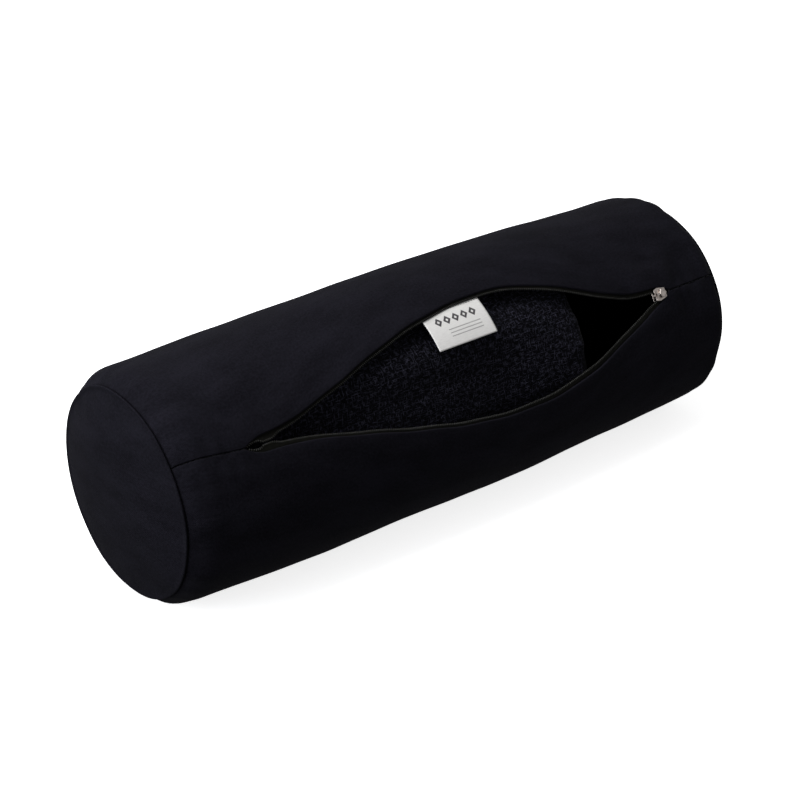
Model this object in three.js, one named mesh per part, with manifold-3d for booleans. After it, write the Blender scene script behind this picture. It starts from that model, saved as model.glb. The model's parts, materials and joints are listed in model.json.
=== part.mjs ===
// A round bolster pillow lying on its side, with the zip of its cover open.
// A cloth tube and two cloth discs make the cover. A shorter filled insert lies loose inside it.
// Millimetres, +Z up. X runs along the roll, the zip faces -Y and up, and z = 0 is the floor.
import * as THREE from "three";
import { mergeVertices } from "three/addons/utils/BufferGeometryUtils.js";
import Module from "manifold-3d";

const wasm = await Module();
wasm.setup();

// ---- driving dimensions ----

const COVER = {
  length: 405, // from end seam to end seam
  midRadius: 73,
  shoulderRadius: 70, // where the tube starts to round in to its end seam
  seamRadius: 63,
  rounding: 14, // length of the rounded-in end
  dome: 9, // how far an end disc bulges
  cloth: 1.2,
  restFlat: 3, // how much the floor flattens the roll
};
const INSERT = {
  length: 296,
  shoulderSpace: 4.3, // between its shoulders and the inside of the cover's
  seamSpace: 5.8, // between its end seams and the inside of the cover's
  rounding: 12,
  dome: 6,
  cloth: 1,
  endSpace: 3, // between its left end seam and the cover's
  sliderSpace: 0.6, // between it and the slider that passes over it
};
const ZIP = {
  angle: THREE.MathUtils.degToRad(33), // of the zip line, above level
  leftEnd: -161,
  rightEnd: 156,
  upper: { rise: 41, crest: 22, leftPower: 1.55, rightPower: 2 },
  lower: { rise: 38, crest: 40, leftPower: 1.55, rightPower: 1.2 },
  tapeWidth: 12,
  tapeThickness: 0.5,
  tapeOverrun: 5, // tape past each end of the opening
  tapeDepth: 2.2, // from the outer face of the cloth to the outer face of the tape
  coilDiameter: 1.5,
  coilSpacing: 0.95, // from the zip line to a closed coil's middle
};
const SLIDER = {
  x: 149.5,
  length: 9.2,
  mouthWidth: 7,
  width: 8.4,
  tailWidth: 5.8,
  plate: 0.8,
  channel: 1.9,
  tapeSlot: 1.2,
  flange: 0.7,
  wedgeWidth: 2.2,
  wedgeLength: 3.2,
};
const CAP = { length: 4.8, width: 4.6, height: 1.1, x: 1.3, recess: 0.6, wall: 0.6 };
const LOCK_SPRING = { length: 2.8, width: 1.4, thickness: 0.25 };
const BRIDGE = { x: -3.2, length: 1.8, width: 1.6, height: 1.7, hole: 0.55 };
const PULL = { pin: 0.3, arm: 0.6, armGap: 0.3, armLength: 2, neckWidth: 1, length: 4.6, barWidth: 3.6 };
const LABEL = { x: 2, width: 44, height: 24, thickness: 0.4, depth: 0.5 };
const STITCH = { width: 0.6, thickness: 0.4, inset: 4 };
const TACK = { length: 1.6, width: 8, thickness: 0.4 };
const SEAM_RING = 0.8; // side of the thread ring inside an end seam

const touch = 0.3; // gap kept between pieces that touch
const slideClear = 0.5; // from the slider to the cloth on each side
const turns = 36; // facets round the roll
const mouthSteps = 22; // steps along the open zip
const mouthStep = 0.5; // length over which the cloth's edges part at each end of the zip
const sliderSteps = 6;
const insertSteps = 5;
const discRings = 3;

// ---- colours and materials ----

function material(color, roughness, metalness = 0) {
  return new THREE.MeshStandardMaterial({ color, roughness, metalness });
}
const coverCloth = material(0x131319, 0.9);
const insertCloth = material(0x20202b, 0.95);
const fillingFibre = material(0xd8d6cf, 1);
const tapeCloth = material(0x17171a, 0.85);
const coilNylon = material(0x1c1c1d, 0.5);
const threadBlack = material(0x101013, 0.8);
const labelCloth = material(0xe4e3df, 0.8);
const sliderMetal = material(0x5b544d, 0.35, 1);
const springSteel = material(0xb5b5b2, 0.3, 1);

// ---- fits between the pieces ----

const axisHeight = COVER.midRadius - COVER.restFlat;
const coilDepth = ZIP.tapeDepth + ZIP.tapeThickness / 2;
const threadDepth = COVER.cloth + touch;
const sliderTop = SLIDER.channel / 2 + SLIDER.plate;
const pinHeight = sliderTop + BRIDGE.height / 2;
const channelRadius = rollRadius(COVER, SLIDER.x) - coilDepth;
const insertMiddle = -COVER.length / 2 + INSERT.endSpace + INSERT.length / 2;
const insertRoll = {
  ...INSERT,
  midRadius: channelRadius - sliderTop - INSERT.sliderSpace,
  shoulderRadius: COVER.shoulderRadius - COVER.cloth - INSERT.shoulderSpace,
  seamRadius: COVER.seamRadius - COVER.cloth - INSERT.seamSpace,
};

// ---- the roll's surface ----

// Radius of a roll at x from its own middle: a slight barrel, rounded in at its ends.
function rollRadius(roll, x) {
  const half = roll.length / 2;
  const barrel = (roll.midRadius - roll.shoulderRadius) * (1 - (x / half) ** 2);
  const intoRounding = Math.max(0, (Math.abs(x) - half + roll.rounding) / roll.rounding);
  const roundedIn = (roll.shoulderRadius - roll.seamRadius) * intoRounding ** 2.5;
  return roll.shoulderRadius + barrel - roundedIn;
}

// A point below the roll's surface. The angle is measured from -Y towards +Z.
function onRoll(roll, middle, x, angle, depth) {
  const radius = rollRadius(roll, x) - depth;
  const height = axisHeight + Math.sin(angle) * radius;
  return new THREE.Vector3(middle + x, -Math.cos(angle) * radius, Math.max(height, depth));
}
const onCover = (x, angle, depth) => onRoll(COVER, 0, x, angle, depth);

// Places along x, closer together where the roll rounds in.
function stationsAlong(roll, count) {
  const half = roll.length / 2;
  const inner = half - roll.rounding;
  const places = [-half, -half + roll.rounding / 5, -half + roll.rounding / 2];
  for (let i = 0; i <= count; i++) places.push(-inner + (2 * inner * i) / count);
  return [...places, half - roll.rounding / 2, half - roll.rounding / 5, half];
}

function spread(from, to, count) {
  return Array.from({ length: count + 1 }, (_, i) => from + ((to - from) * i) / count);
}

// A box bent to a surface: place(x, across, outward) gives each corner, with
// across and outward from 0 to 1.
function bentBox(stations, acrossSegments, outwardSegments, place) {
  const steps = stations.length - 1;
  const geometry = new THREE.BoxGeometry(1, 1, 1, steps, acrossSegments, outwardSegments);
  const position = geometry.getAttribute("position");
  for (let i = 0; i < position.count; i++) {
    const station = stations[Math.round((position.getX(i) + 0.5) * steps)];
    const point = place(station, position.getY(i) + 0.5, position.getZ(i) + 0.5);
    position.setXYZ(i, point.x, point.y, point.z);
  }
  geometry.computeVertexNormals();
  return geometry;
}

// ---- the zip's shape ----

// How far a lip stands from the zip line: widest at its crest, nothing at the zip's ends.
function lipRise(lip, x) {
  const left = x < lip.crest;
  const reach = left ? lip.crest - ZIP.leftEnd : ZIP.rightEnd - lip.crest;
  const part = Math.min(1, Math.abs(x - lip.crest) / reach);
  return lip.rise * Math.cos((part * Math.PI) / 2) ** (left ? lip.leftPower : lip.rightPower);
}

// The cloth's edge from the zip line, along the surface.
function clothEdge(lip, x) {
  if (x <= ZIP.leftEnd || x >= ZIP.rightEnd) return touch / 2;
  return Math.hypot(lipRise(lip, x), SLIDER.width / 2 + slideClear);
}

// A coil's middle from the zip line. Inside the slider it closes in on the zip line.
function coilOffset(lip, x) {
  const free = Math.max(0, clothEdge(lip, x) - SLIDER.width / 2 - slideClear);
  const apart = (SLIDER.wedgeWidth + ZIP.coilDiameter) / 2 + touch - ZIP.coilSpacing;
  const intoSlider = (SLIDER.x - x) / (SLIDER.length / 2);
  const parted = apart * THREE.MathUtils.smoothstep(intoSlider, 0, 0.6);
  const atLeftEnd = THREE.MathUtils.smoothstep(x, ZIP.leftEnd, ZIP.leftEnd + SLIDER.length);
  return ZIP.coilSpacing + free + parted * atLeftEnd;
}

// Places along the zip, closer together inside the slider.
function zipStations(from, to, steps) {
  const [mouth, tail] = [SLIDER.x - SLIDER.length / 2, SLIDER.x + SLIDER.length / 2];
  return [...spread(from, mouth, steps), ...spread(mouth, tail, sliderSteps).slice(1), to];
}

// An angle on the cover, from a distance along its surface from the zip line.
function zipAngle(x, distance) {
  return ZIP.angle + distance / rollRadius(COVER, x);
}

const SIDES = [
  { name: "upper", lip: ZIP.upper, way: 1 },
  { name: "lower", lip: ZIP.lower, way: -1 },
];

// A strip on one lip, from inner to outer distance, at a depth below the cover's surface.
function lipStrip(side, stations, inner, outer, depth, thickness, segments = 1) {
  return bentBox(stations, segments, 1, (x, across, outward) => {
    const part = side.way > 0 ? across : 1 - across;
    const distance = inner(x) + (outer(x) - inner(x)) * part;
    return onCover(x, zipAngle(x, side.way * distance), depth + thickness * (1 - outward));
  });
}

// A strip straight along the zip line, half its width on each side.
function lineStrip(from, to, width, depth, thickness) {
  return bentBox(spread(from, to, 4), 1, 1, (x, across, outward) =>
    onCover(x, zipAngle(x, width * (across - 0.5)), depth + thickness * (1 - outward)),
  );
}

// ---- booleans ----

function solidOf(geometry) {
  const bare = geometry.clone();
  bare.deleteAttribute("normal");
  bare.deleteAttribute("uv");
  const merged = mergeVertices(bare, 1e-4);
  return new wasm.Manifold(
    new wasm.Mesh({
      numProp: 3,
      vertProperties: new Float32Array(merged.getAttribute("position").array),
      triVerts: new Uint32Array(merged.index.array),
    }),
  );
}

function geometryOf(solid) {
  const mesh = solid.getMesh();
  const geometry = new THREE.BufferGeometry();
  geometry.setAttribute("position", new THREE.BufferAttribute(mesh.vertProperties, 3));
  geometry.setIndex(new THREE.BufferAttribute(mesh.triVerts, 1));
  geometry.computeVertexNormals();
  return geometry;
}

function join(first, ...others) {
  return geometryOf(others.reduce((sum, other) => sum.add(solidOf(other)), solidOf(first)));
}

function cut(geometry, tool) {
  return geometryOf(solidOf(geometry).subtract(solidOf(tool)));
}

// ---- shapes used by several pieces ----

function box(width, depth, height, x, y, z) {
  return new THREE.BoxGeometry(width, depth, height).translate(x, y, z);
}

function plateOf(points, thickness, z) {
  const outline = new THREE.Shape(points.map(([x, y]) => new THREE.Vector2(x, y)));
  const settings = { depth: thickness, bevelEnabled: false };
  return new THREE.ExtrudeGeometry(outline, settings).translate(0, 0, z);
}

// Turns a lathed shape's axis to +X or -X and sets it at the roll's end.
function towardsEnd(geometry, side, middle) {
  geometry.rotateZ((-side * Math.PI) / 2);
  return geometry.translate(middle, 0, axisHeight);
}

// A domed cloth disc that closes an end of a roll.
function endDisc(roll, side, middle) {
  const start = roll.length / 2 + touch;
  const bulge = (part) => start + roll.dome * (1 - part * part);
  const inner = spread(0, 1, discRings).map(
    (part) => new THREE.Vector2(roll.seamRadius * part, bulge(part)),
  );
  const outer = spread(1, 0, discRings).map(
    (part) => new THREE.Vector2(roll.seamRadius * part, bulge(part) + roll.cloth),
  );
  const profile = [...inner, ...outer];
  return towardsEnd(new THREE.LatheGeometry(profile, turns), side, middle);
}

const seamRingOuter = (roll) => roll.seamRadius - roll.cloth - 2 * touch;

// The ring of thread just inside an end seam.
function seamRing(roll, side, middle) {
  const outer = seamRingOuter(roll);
  const inner = outer - SEAM_RING;
  const far = roll.length / 2 - touch;
  const near = far - SEAM_RING;
  const corners = [[inner, near], [outer, near], [outer, far], [inner, far], [inner, near]];
  const profile = corners.map(([radius, along]) => new THREE.Vector2(radius, along));
  return towardsEnd(new THREE.LatheGeometry(profile, turns), side, middle);
}

// ---- the cover ----

// The cover's one long panel, rolled until its two long edges meet at the zip.
function coverTube() {
  const ends = stationsAlong(COVER, 1);
  const mouth = spread(ZIP.leftEnd + mouthStep, ZIP.rightEnd - mouthStep, mouthSteps);
  const stations = [
    ...ends.filter((x) => x < ZIP.leftEnd),
    ZIP.leftEnd,
    ...mouth,
    ZIP.rightEnd,
    ...ends.filter((x) => x > ZIP.rightEnd),
  ];
  return bentBox(stations, turns, 1, (x, across, outward) => {
    const upper = zipAngle(x, clothEdge(ZIP.upper, x));
    const lower = zipAngle(x, -clothEdge(ZIP.lower, x)) + 2 * Math.PI;
    return onCover(x, upper + (lower - upper) * across, COVER.cloth * (1 - outward));
  });
}

function zipTape(side) {
  const from = ZIP.leftEnd - ZIP.tapeOverrun;
  const to = ZIP.rightEnd + ZIP.tapeOverrun;
  const inner = (x) => coilOffset(side.lip, x) - ZIP.coilSpacing + touch / 2;
  const outer = (x) => inner(x) + ZIP.tapeWidth;
  const stations = zipStations(from, to, mouthSteps);
  return lipStrip(side, stations, inner, outer, ZIP.tapeDepth, ZIP.tapeThickness, 3);
}

// A coil as a plain round bar on the tape's edge.
function coilBar(side) {
  const radius = ZIP.coilDiameter / 2;
  const stations = zipStations(ZIP.leftEnd, ZIP.rightEnd - touch, mouthSteps);
  return bentBox(stations, 2, 2, (x, across, outward) => {
    const [u, v] = [2 * across - 1, 2 * outward - 1];
    const toCircle = u && v ? Math.SQRT1_2 : 1;
    const distance = side.way * coilOffset(side.lip, x) + radius * u * toCircle;
    return onCover(x, zipAngle(x, distance), coilDepth - radius * v * toCircle);
  });
}

// The tape carries its coil in a groove, so the groove is cut out of the tape.
function tapeWithGroove(side) {
  const radius = ZIP.coilDiameter / 2 + touch;
  const past = 2 * ZIP.tapeOverrun;
  const stations = zipStations(ZIP.leftEnd - past, ZIP.rightEnd + past, mouthSteps);
  const groove = lipStrip(
    side,
    stations,
    (x) => coilOffset(side.lip, x) - 2 * radius,
    (x) => coilOffset(side.lip, x) + radius,
    coilDepth - radius,
    2 * radius,
  );
  return cut(zipTape(side), groove);
}

function zipStitching(side) {
  const stations = spread(ZIP.leftEnd, ZIP.rightEnd, mouthSteps);
  const inner = (x) => clothEdge(side.lip, x) + STITCH.inset;
  const outer = (x) => inner(x) + STITCH.width;
  const depth = ZIP.tapeDepth + ZIP.tapeThickness + touch;
  return lipStrip(side, stations, inner, outer, depth, STITCH.thickness);
}

// The label is sewn in at the upper lip and hangs into the opening.
function label() {
  const stations = spread(LABEL.x - LABEL.width / 2, LABEL.x + LABEL.width / 2, 8);
  const top = (x) => clothEdge(ZIP.upper, x) - touch;
  const bottom = (x) => top(x) - LABEL.height;
  return lipStrip(SIDES[0], stations, bottom, top, LABEL.depth, LABEL.thickness);
}

function labelStitching() {
  const half = LABEL.width / 2 - STITCH.width;
  const top = (x) => clothEdge(ZIP.upper, x) - touch - STITCH.width;
  const bottom = (x) => top(x) - STITCH.width;
  const depth = LABEL.depth - touch - STITCH.thickness;
  const stations = spread(LABEL.x - half, LABEL.x + half, 8);
  return lipStrip(SIDES[0], stations, bottom, top, depth, STITCH.thickness);
}

function closingSeam(side) {
  const rim = COVER.length / 2 - COVER.rounding / 2;
  const end = side > 0 ? ZIP.rightEnd : ZIP.leftEnd;
  const zipEnd = end + side * (ZIP.tapeOverrun + touch);
  const [from, to] = side > 0 ? [zipEnd, rim] : [-rim, zipEnd];
  return lineStrip(from, to, STITCH.width, threadDepth, STITCH.thickness);
}

function barTack(side) {
  const end = side > 0 ? ZIP.rightEnd : ZIP.leftEnd;
  const middle = end + (side * ZIP.tapeOverrun) / 2;
  const half = TACK.length / 2;
  return lineStrip(middle - half, middle + half, TACK.width, threadDepth, TACK.thickness);
}

// ---- the slider, about the middle of its own channel ----
// Its X is the zip line towards the tail, its Z points out of the roll.

function sliderOutline() {
  const half = SLIDER.length / 2;
  const widest = -half / 3;
  const upper = [
    [-half, SLIDER.mouthWidth / 2],
    [widest, SLIDER.width / 2],
    [half, SLIDER.tailWidth / 2],
  ];
  const lower = upper.map(([x, y]) => [x, -y]).reverse();
  return [...lower, ...upper].reverse();
}

function sliderBody() {
  const half = SLIDER.length / 2;
  const flangeHeight = (SLIDER.channel - SLIDER.tapeSlot) / 2;
  const flangeLength = half;
  const flangeY = SLIDER.tailWidth / 2 - SLIDER.flange / 2;
  const bridgeZ = sliderTop + BRIDGE.height / 2;
  const overlap = 0.1; // sinks joined pieces into each other
  const pieces = [
    plateOf(sliderOutline(), SLIDER.plate, -sliderTop),
    box(BRIDGE.length, BRIDGE.width, BRIDGE.height + overlap, BRIDGE.x, 0, bridgeZ - overlap / 2),
    plateOf(
      [
        [-half, 0],
        [-half + SLIDER.wedgeLength / 2, -SLIDER.wedgeWidth / 2],
        [-half + SLIDER.wedgeLength, 0],
        [-half + SLIDER.wedgeLength / 2, SLIDER.wedgeWidth / 2],
      ],
      SLIDER.channel + SLIDER.plate,
      -sliderTop + SLIDER.plate / 2,
    ),
  ];
  for (const y of [-flangeY, flangeY])
    for (const z of [-1, 1]) {
      const middle = z * (SLIDER.channel / 2 - flangeHeight / 2 + overlap / 2);
      const height = flangeHeight + overlap;
      pieces.push(box(flangeLength, SLIDER.flange, height, half - flangeLength / 2, y, middle));
    }
  const body = join(plateOf(sliderOutline(), SLIDER.plate, SLIDER.channel / 2), ...pieces);
  const hole = new THREE.CylinderGeometry(BRIDGE.hole, BRIDGE.hole, 2 * SLIDER.width, 12);
  return cut(body, hole.translate(BRIDGE.x, 0, pinHeight));
}

function hexagon(length, width) {
  const [x, y] = [length / 2, width / 2];
  return [[x, 0], [x / 2, y], [-x / 2, y], [-x, 0], [-x / 2, -y], [x / 2, -y]];
}

function sliderCap() {
  const base = sliderTop + touch;
  const cap = plateOf(hexagon(CAP.length, CAP.width), CAP.height, base);
  const room = hexagon(CAP.length - 2 * CAP.wall, CAP.width - 2 * CAP.wall);
  const recess = plateOf(room, 2 * CAP.recess, base - CAP.recess);
  return cut(cap, recess).translate(CAP.x, 0, 0);
}

function lockSpring() {
  const base = sliderTop + touch;
  return box(
    LOCK_SPRING.length,
    LOCK_SPRING.width,
    LOCK_SPRING.thickness,
    CAP.x,
    0,
    base + LOCK_SPRING.thickness / 2,
  );
}

// The pull's pin runs through the bridge, and its neck points away from the tail.
function sliderPull() {
  const inside = BRIDGE.width / 2 + PULL.armGap;
  const span = 2 * (inside + PULL.arm);
  const pin = new THREE.CylinderGeometry(PULL.pin, PULL.pin, span, 10);
  const armEnd = -PULL.armLength - PULL.arm / 2;
  const armMiddle = -PULL.armLength / 2;
  const thick = 2 * PULL.pin;
  const arms = [-1, 1].map((way) =>
    box(PULL.armLength + thick, PULL.arm, thick, armMiddle, way * (inside + PULL.arm / 2), 0),
  );
  const neckLength = PULL.length - PULL.armLength;
  const pull = join(
    pin,
    ...arms,
    box(PULL.arm, span, thick, armEnd + PULL.arm / 2, 0, 0),
    box(neckLength, PULL.neckWidth, thick, -PULL.armLength - neckLength / 2, 0, 0),
    box(PULL.arm, PULL.barWidth, thick, -PULL.length, 0, 0),
  );
  return pull.translate(BRIDGE.x, 0, pinHeight);
}

// ---- the insert ----

const insertSeamAngle = ZIP.angle + Math.PI; // its long seam lies away from the zip

function insertTube() {
  const gap = touch / insertRoll.midRadius;
  return bentBox(stationsAlong(insertRoll, insertSteps), turns, 1, (x, across, outward) => {
    const angle = insertSeamAngle + gap / 2 + (2 * Math.PI - gap) * across;
    return onRoll(insertRoll, insertMiddle, x, angle, INSERT.cloth * (1 - outward));
  });
}

function insertSeam() {
  const half = INSERT.length / 2 - INSERT.rounding;
  const depth = INSERT.cloth + touch;
  return bentBox(spread(-half, half, insertSteps), 1, 1, (x, across, outward) => {
    const angle = insertSeamAngle + (STITCH.width * (across - 0.5)) / insertRoll.midRadius;
    return onRoll(insertRoll, insertMiddle, x, angle, depth + STITCH.thickness * (1 - outward));
  });
}

// One soft block of fibre that fills the casing. It steps in past the thread ring of each end seam.
function filling() {
  const half = INSERT.length / 2;
  const depth = INSERT.cloth + 2 * touch + STITCH.thickness;
  const besideRing = half - SEAM_RING - 2 * touch;
  const withinRing = seamRingOuter(insertRoll) - SEAM_RING - touch;
  const walls = stationsAlong(insertRoll, insertSteps).filter((x) => Math.abs(x) < besideRing);
  const outline = [-besideRing, ...walls, besideRing].map(
    (x) => new THREE.Vector2(rollRadius(insertRoll, x) - depth, x),
  );
  const end = half + INSERT.dome / 2;
  const profile = [
    new THREE.Vector2(0, -end),
    new THREE.Vector2(withinRing, -half),
    new THREE.Vector2(withinRing, -besideRing),
    ...outline,
    new THREE.Vector2(withinRing, besideRing),
    new THREE.Vector2(withinRing, half),
    new THREE.Vector2(0, end),
  ];
  return towardsEnd(new THREE.LatheGeometry(profile, turns), 1, insertMiddle);
}

// ---- assembly ----

const bolster = new THREE.Group();
const zipSlider = new THREE.Group(); // stands on the zip line at the slider's place
const insert = new THREE.Group();
bolster.add(zipSlider, insert);

zipSlider.position.set(
  SLIDER.x,
  -Math.cos(ZIP.angle) * channelRadius,
  axisHeight + Math.sin(ZIP.angle) * channelRadius,
);
// The slider lies along the barrel's slope, so its channel lines up with the tapes.
const ahead = rollRadius(COVER, SLIDER.x + SLIDER.length / 2);
const behind = rollRadius(COVER, SLIDER.x - SLIDER.length / 2);
const slope = Math.atan2(behind - ahead, SLIDER.length);
zipSlider.rotation.set(Math.PI / 2 - ZIP.angle, slope, 0);

function addPiece(parent, name, geometry, look) {
  const mesh = new THREE.Mesh(geometry, look);
  mesh.name = name;
  parent.add(mesh);
}

addPiece(bolster, "cover_tube", coverTube(), coverCloth);
for (const [end, side] of [["left", -1], ["right", 1]]) {
  addPiece(bolster, "cover_end_" + end, endDisc(COVER, side, 0), coverCloth);
  addPiece(bolster, "cover_end_seam_" + end, seamRing(COVER, side, 0), threadBlack);
  addPiece(bolster, "closing_seam_" + end, closingSeam(side), threadBlack);
  addPiece(bolster, "zip_bar_tack_" + end, barTack(side), threadBlack);
  addPiece(insert, "insert_end_" + end, endDisc(insertRoll, side, insertMiddle), insertCloth);
  addPiece(insert, "insert_end_seam_" + end, seamRing(insertRoll, side, insertMiddle), threadBlack);
}
for (const side of SIDES) {
  addPiece(bolster, "zip_tape_" + side.name, tapeWithGroove(side), tapeCloth);
  addPiece(bolster, "zip_coil_" + side.name, coilBar(side), coilNylon);
  addPiece(bolster, "zip_stitching_" + side.name, zipStitching(side), threadBlack);
}
addPiece(bolster, "label", label(), labelCloth);
addPiece(bolster, "label_stitching", labelStitching(), threadBlack);
addPiece(zipSlider, "slider_body", sliderBody(), sliderMetal);
addPiece(zipSlider, "slider_cap", sliderCap(), sliderMetal);
addPiece(zipSlider, "slider_lock_spring", lockSpring(), springSteel);
addPiece(zipSlider, "slider_pull", sliderPull(), sliderMetal);
addPiece(insert, "insert_tube", insertTube(), insertCloth);
addPiece(insert, "insert_long_seam", insertSeam(), threadBlack);
addPiece(insert, "insert_filling", filling(), fillingFibre);

export default bolster;
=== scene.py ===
# %% [markdown]
# # A bolster pillow with its zip open
#
# The real object is a sewn cloth tube with a round cloth panel at each end, and a long zip in its
# side. A shorter stuffed cushion, the insert, lies loose inside it. The zip is open, so the cloth's
# two lips stand apart and show the insert, and the empty end of the cover beyond it.
#
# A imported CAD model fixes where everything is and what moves. This script builds the cloth, the zip
# and the stitching round that model. Lengths are in metres. X runs along the roll and Z is up.

import json
import math
from functools import partial

import bmesh
import bpy
from mathutils import Matrix, Vector, noise


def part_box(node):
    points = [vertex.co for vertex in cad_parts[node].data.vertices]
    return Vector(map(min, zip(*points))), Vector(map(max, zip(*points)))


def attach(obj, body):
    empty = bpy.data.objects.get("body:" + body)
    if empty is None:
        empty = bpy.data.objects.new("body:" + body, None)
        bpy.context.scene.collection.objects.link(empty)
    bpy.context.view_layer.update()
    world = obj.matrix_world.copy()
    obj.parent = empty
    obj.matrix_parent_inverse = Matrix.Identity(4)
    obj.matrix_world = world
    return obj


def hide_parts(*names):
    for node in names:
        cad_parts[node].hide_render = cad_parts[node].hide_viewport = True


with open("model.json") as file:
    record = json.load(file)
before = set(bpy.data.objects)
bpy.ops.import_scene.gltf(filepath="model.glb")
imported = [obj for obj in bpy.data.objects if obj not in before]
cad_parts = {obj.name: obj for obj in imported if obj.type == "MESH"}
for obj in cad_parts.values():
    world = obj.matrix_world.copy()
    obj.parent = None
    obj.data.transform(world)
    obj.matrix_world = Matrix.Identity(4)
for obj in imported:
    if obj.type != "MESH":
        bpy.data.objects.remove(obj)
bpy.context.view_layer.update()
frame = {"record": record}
MM = 0.001
joints = {joint["name"]: joint for joint in frame["record"]["behaviour"]["joints"]}


def in_scene(name, data):
    thing = bpy.data.objects.new(name, data)
    bpy.context.collection.objects.link(thing)
    return thing


def mesh_from(name, bm):
    mesh = bpy.data.meshes.new(name)
    bm.to_mesh(mesh)
    bm.free()
    return mesh


# %% [markdown]
# ## Where the camera stands
#
# The camera looks down on the roll from its zip side, past its left end. Every later choice is
# judged from here, so the camera comes first. A long lens from a little over a metre away keeps the
# perspective gentle. It aims a little below the roll's middle, which leaves air above the roll.

# %% The camera
CAMERA_AZIMUTH = math.radians(-39)
CAMERA_ELEVATION = math.radians(28)
CAMERA_DISTANCE = 1.2445
LENS = 92.9
AIM = Vector((-9.4 * MM, 0, 70 * MM))
AIM_LIFT = -6.35 * MM

camera_data = bpy.data.cameras.new("studio_camera")
camera_data.lens = LENS
camera_data.sensor_width = 36
camera_data.clip_start = 0.01
camera = in_scene("studio_camera", camera_data)
bpy.context.scene.camera = camera

away = Vector((math.sin(CAMERA_AZIMUTH), -math.cos(CAMERA_AZIMUTH), math.tan(CAMERA_ELEVATION)))
away.normalize()
facing = (-away).to_track_quat("-Z", "Y")
camera.location = AIM + facing @ Vector((0, AIM_LIFT, 0)) + away * CAMERA_DISTANCE
camera.rotation_mode = "QUATERNION"
camera.rotation_quaternion = facing

# %% [markdown]
# ## Finishes
#
# Nearly everything here is cloth or thread, so a few node groups do most of the work. One is a
# close, brushed cloth: a faint weave under a nap of fine fibres. Another is a coarse linen with
# slubs, the thick places in a yarn. Both work in metres on a cloth's own UV map, so their threads
# keep their real size. The rest are a plain weave, the streaks in a strand, and plated metal. A
# group gives out masks and heights, and each material sets its own colours and its own shader.


# %% Helpers for nodes
def add(tree, kind, inputs=None, **settings):
    """Adds a node, sets it up, and joins or fills the inputs that are named or numbered."""
    node = tree.nodes.new("ShaderNode" + kind)
    for name, value in settings.items():
        setattr(node, name, value)
    for name, value in (inputs or {}).items():
        if isinstance(value, bpy.types.NodeSocket):
            tree.links.new(value, node.inputs[name])
        else:
            node.inputs[name].default_value = value
    return node


def math_node(tree, operation, first, second=0.0, third=0.0):
    return add(tree, "Math", {0: first, 1: second, 2: third}, operation=operation).outputs[0]


def blend(tree, mask, first, second):
    colours = {"Factor": mask, 6: first, 7: second}
    return add(tree, "Mix", colours, data_type="RGBA").outputs[2]


def join(tree, sockets, **sources):
    """Joins each source to the socket it names. An underscore stands for a space."""
    for label, source in sources.items():
        tree.links.new(source, sockets[label.replace("_", " ")])


def new_group(name, numbers, outputs):
    """A shader group with a Vector input, named numbers, and named number outputs."""
    group = bpy.data.node_groups.new(name, "ShaderNodeTree")
    group.interface.new_socket("Vector", in_out="INPUT", socket_type="NodeSocketVector")
    for label, value in numbers.items():
        socket = group.interface.new_socket(label, in_out="INPUT", socket_type="NodeSocketFloat")
        socket.default_value = value
    for label in outputs:
        group.interface.new_socket(label, in_out="OUTPUT", socket_type="NodeSocketFloat")
    given = group.nodes.new("NodeGroupInput").outputs
    return group, given, group.nodes.new("NodeGroupOutput").inputs


def cloud(tree, vector, scale, detail=2.0, roughness=0.5):
    inputs = {"Vector": vector, "Scale": scale, "Detail": detail, "Roughness": roughness}
    return add(tree, "TexNoise", inputs).outputs["Fac"]


def stretched(tree, vector, scale):
    return add(tree, "Mapping", {"Vector": vector, "Scale": scale}).outputs[0]


def use_group(tree, group, vector, **numbers):
    """Puts a group into a tree, fills its inputs, and gives back its outputs."""
    return add(tree, "Group", {"Vector": vector, **numbers}, node_tree=group).outputs


# %% The cloth groups
def plain_weave_group():
    """Bumps where a thread passes over its neighbour, and hollows where it passes under."""
    group, given, out = new_group("plain_weave", {"Threads": 1800}, ["Height"])
    inputs = {0: given["Vector"], "Scale": given["Threads"]}
    scaled = add(group, "VectorMath", inputs, operation="SCALE").outputs[0]
    parts = add(group, "SeparateXYZ", {0: scaled}).outputs
    turns = [math_node(group, "MULTIPLY", part, math.pi) for part in parts[:2]]
    waves = [math_node(group, "SINE", turn) for turn in turns]
    join(group, out, Height=math_node(group, "MULTIPLY", *waves))
    return group


PLAIN_WEAVE = plain_weave_group()


def brushed_cloth_group():
    numbers = {"Threads": 1800, "Nap": 0.6}
    group, given, out = new_group("brushed_cloth", numbers, ["Shade", "Height"])
    weave = use_group(group, PLAIN_WEAVE, given["Vector"], Threads=given["Threads"])["Height"]
    nap = cloud(group, given["Vector"], 1100, 3)
    woven = math_node(group, "MULTIPLY", weave, 0.25)
    height = math_node(group, "MULTIPLY_ADD", nap, given["Nap"], woven)
    stroked = cloud(group, stretched(group, given["Vector"], (1, 2.2, 1)), 26, 4, 0.6)
    speckle = cloud(group, given["Vector"], 620, 2)
    shade = add(group, "Mix", {"Factor": 0.45, "A": stroked, "B": speckle}).outputs["Result"]
    join(group, out, Shade=shade, Height=height)
    return group


def slub_linen_group():
    group, given, out = new_group("slub_linen", {"Threads": 1000}, ["Fleck", "Height"])
    weave = use_group(group, PLAIN_WEAVE, given["Vector"], Threads=given["Threads"])["Height"]
    along, across = 250, 1150  # slubs in a metre, along a yarn and across it
    warp = cloud(group, stretched(group, given["Vector"], (along, across, 1)), 1, 3)
    weft = cloud(group, stretched(group, given["Vector"], (across, along, 1)), 1, 3)
    thick = math_node(group, "MAXIMUM", warp, weft)
    join(group, out, Fleck=thick, Height=math_node(group, "MULTIPLY_ADD", weave, 0.35, thick))
    return group


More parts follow.
